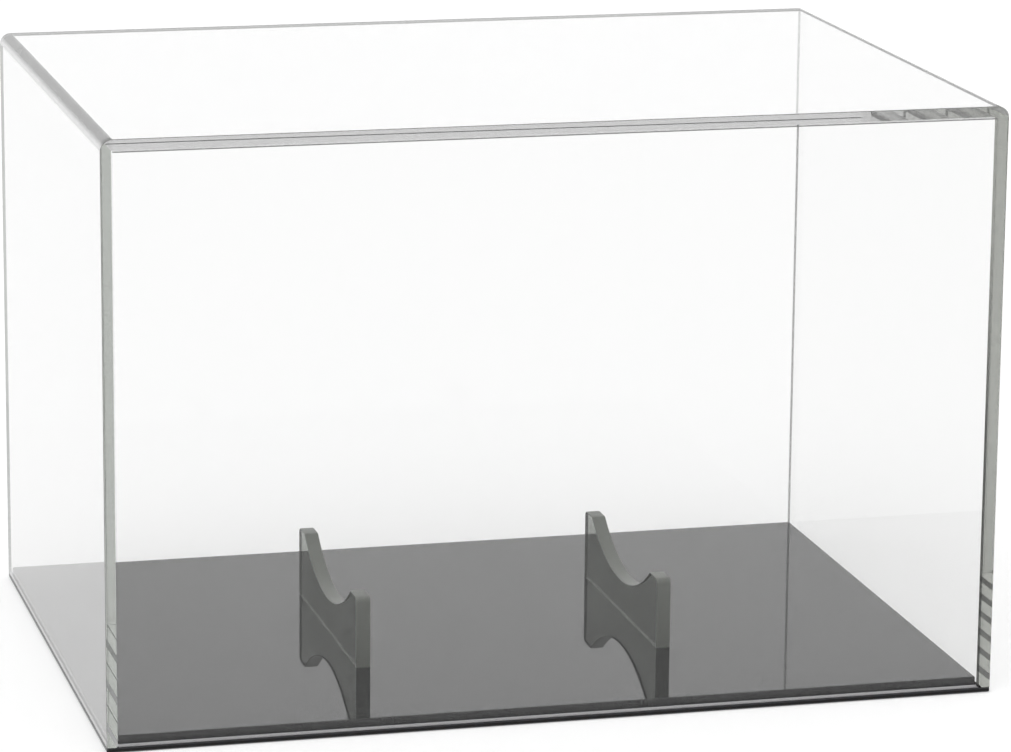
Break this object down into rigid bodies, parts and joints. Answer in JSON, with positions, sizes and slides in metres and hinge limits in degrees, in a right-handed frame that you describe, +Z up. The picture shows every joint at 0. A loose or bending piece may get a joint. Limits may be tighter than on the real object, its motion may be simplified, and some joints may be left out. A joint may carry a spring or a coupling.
{
  "type": "football display case",
  "caption": "Clear box-shaped display case: a lift-off acrylic cover over a black stepped base with clear notched cradle plates that hold a football.",
  "frame": {"origin": "centre of the base plate's underside, on the table", "axes": "+X along the ball and the case's width, +Y from the front panel to the back panel, +Z up"},
  "size_m": [0.305, 0.216, 0.203],
  "materials": {
    "black_acrylic": "cast black acrylic sheet, mirror gloss faces, scraped edges",
    "clear_acrylic": "cast clear acrylic sheet, glass-clear polished faces, grey-green edges",
    "cradle_acrylic": "smoke-grey acrylic plate with a faint green cast, polished faces, satin sawn edges"
  },
  "bodies": {
    "base": {"base_plate": "black_acrylic", "platform": "black_acrylic", "cradle_left": "cradle_acrylic", "cradle_right": "cradle_acrylic"},
    "cover": {"front_panel": "clear_acrylic", "back_panel": "clear_acrylic", "left_panel": "clear_acrylic", "right_panel": "clear_acrylic", "top_panel": "clear_acrylic"}
  },
  "joints": [
    {"name": "cover_lift", "type": "slide", "parent": "base", "child": "cover", "axis": [0, 0, 1], "range_m": [0, 0.2]}
  ]
}
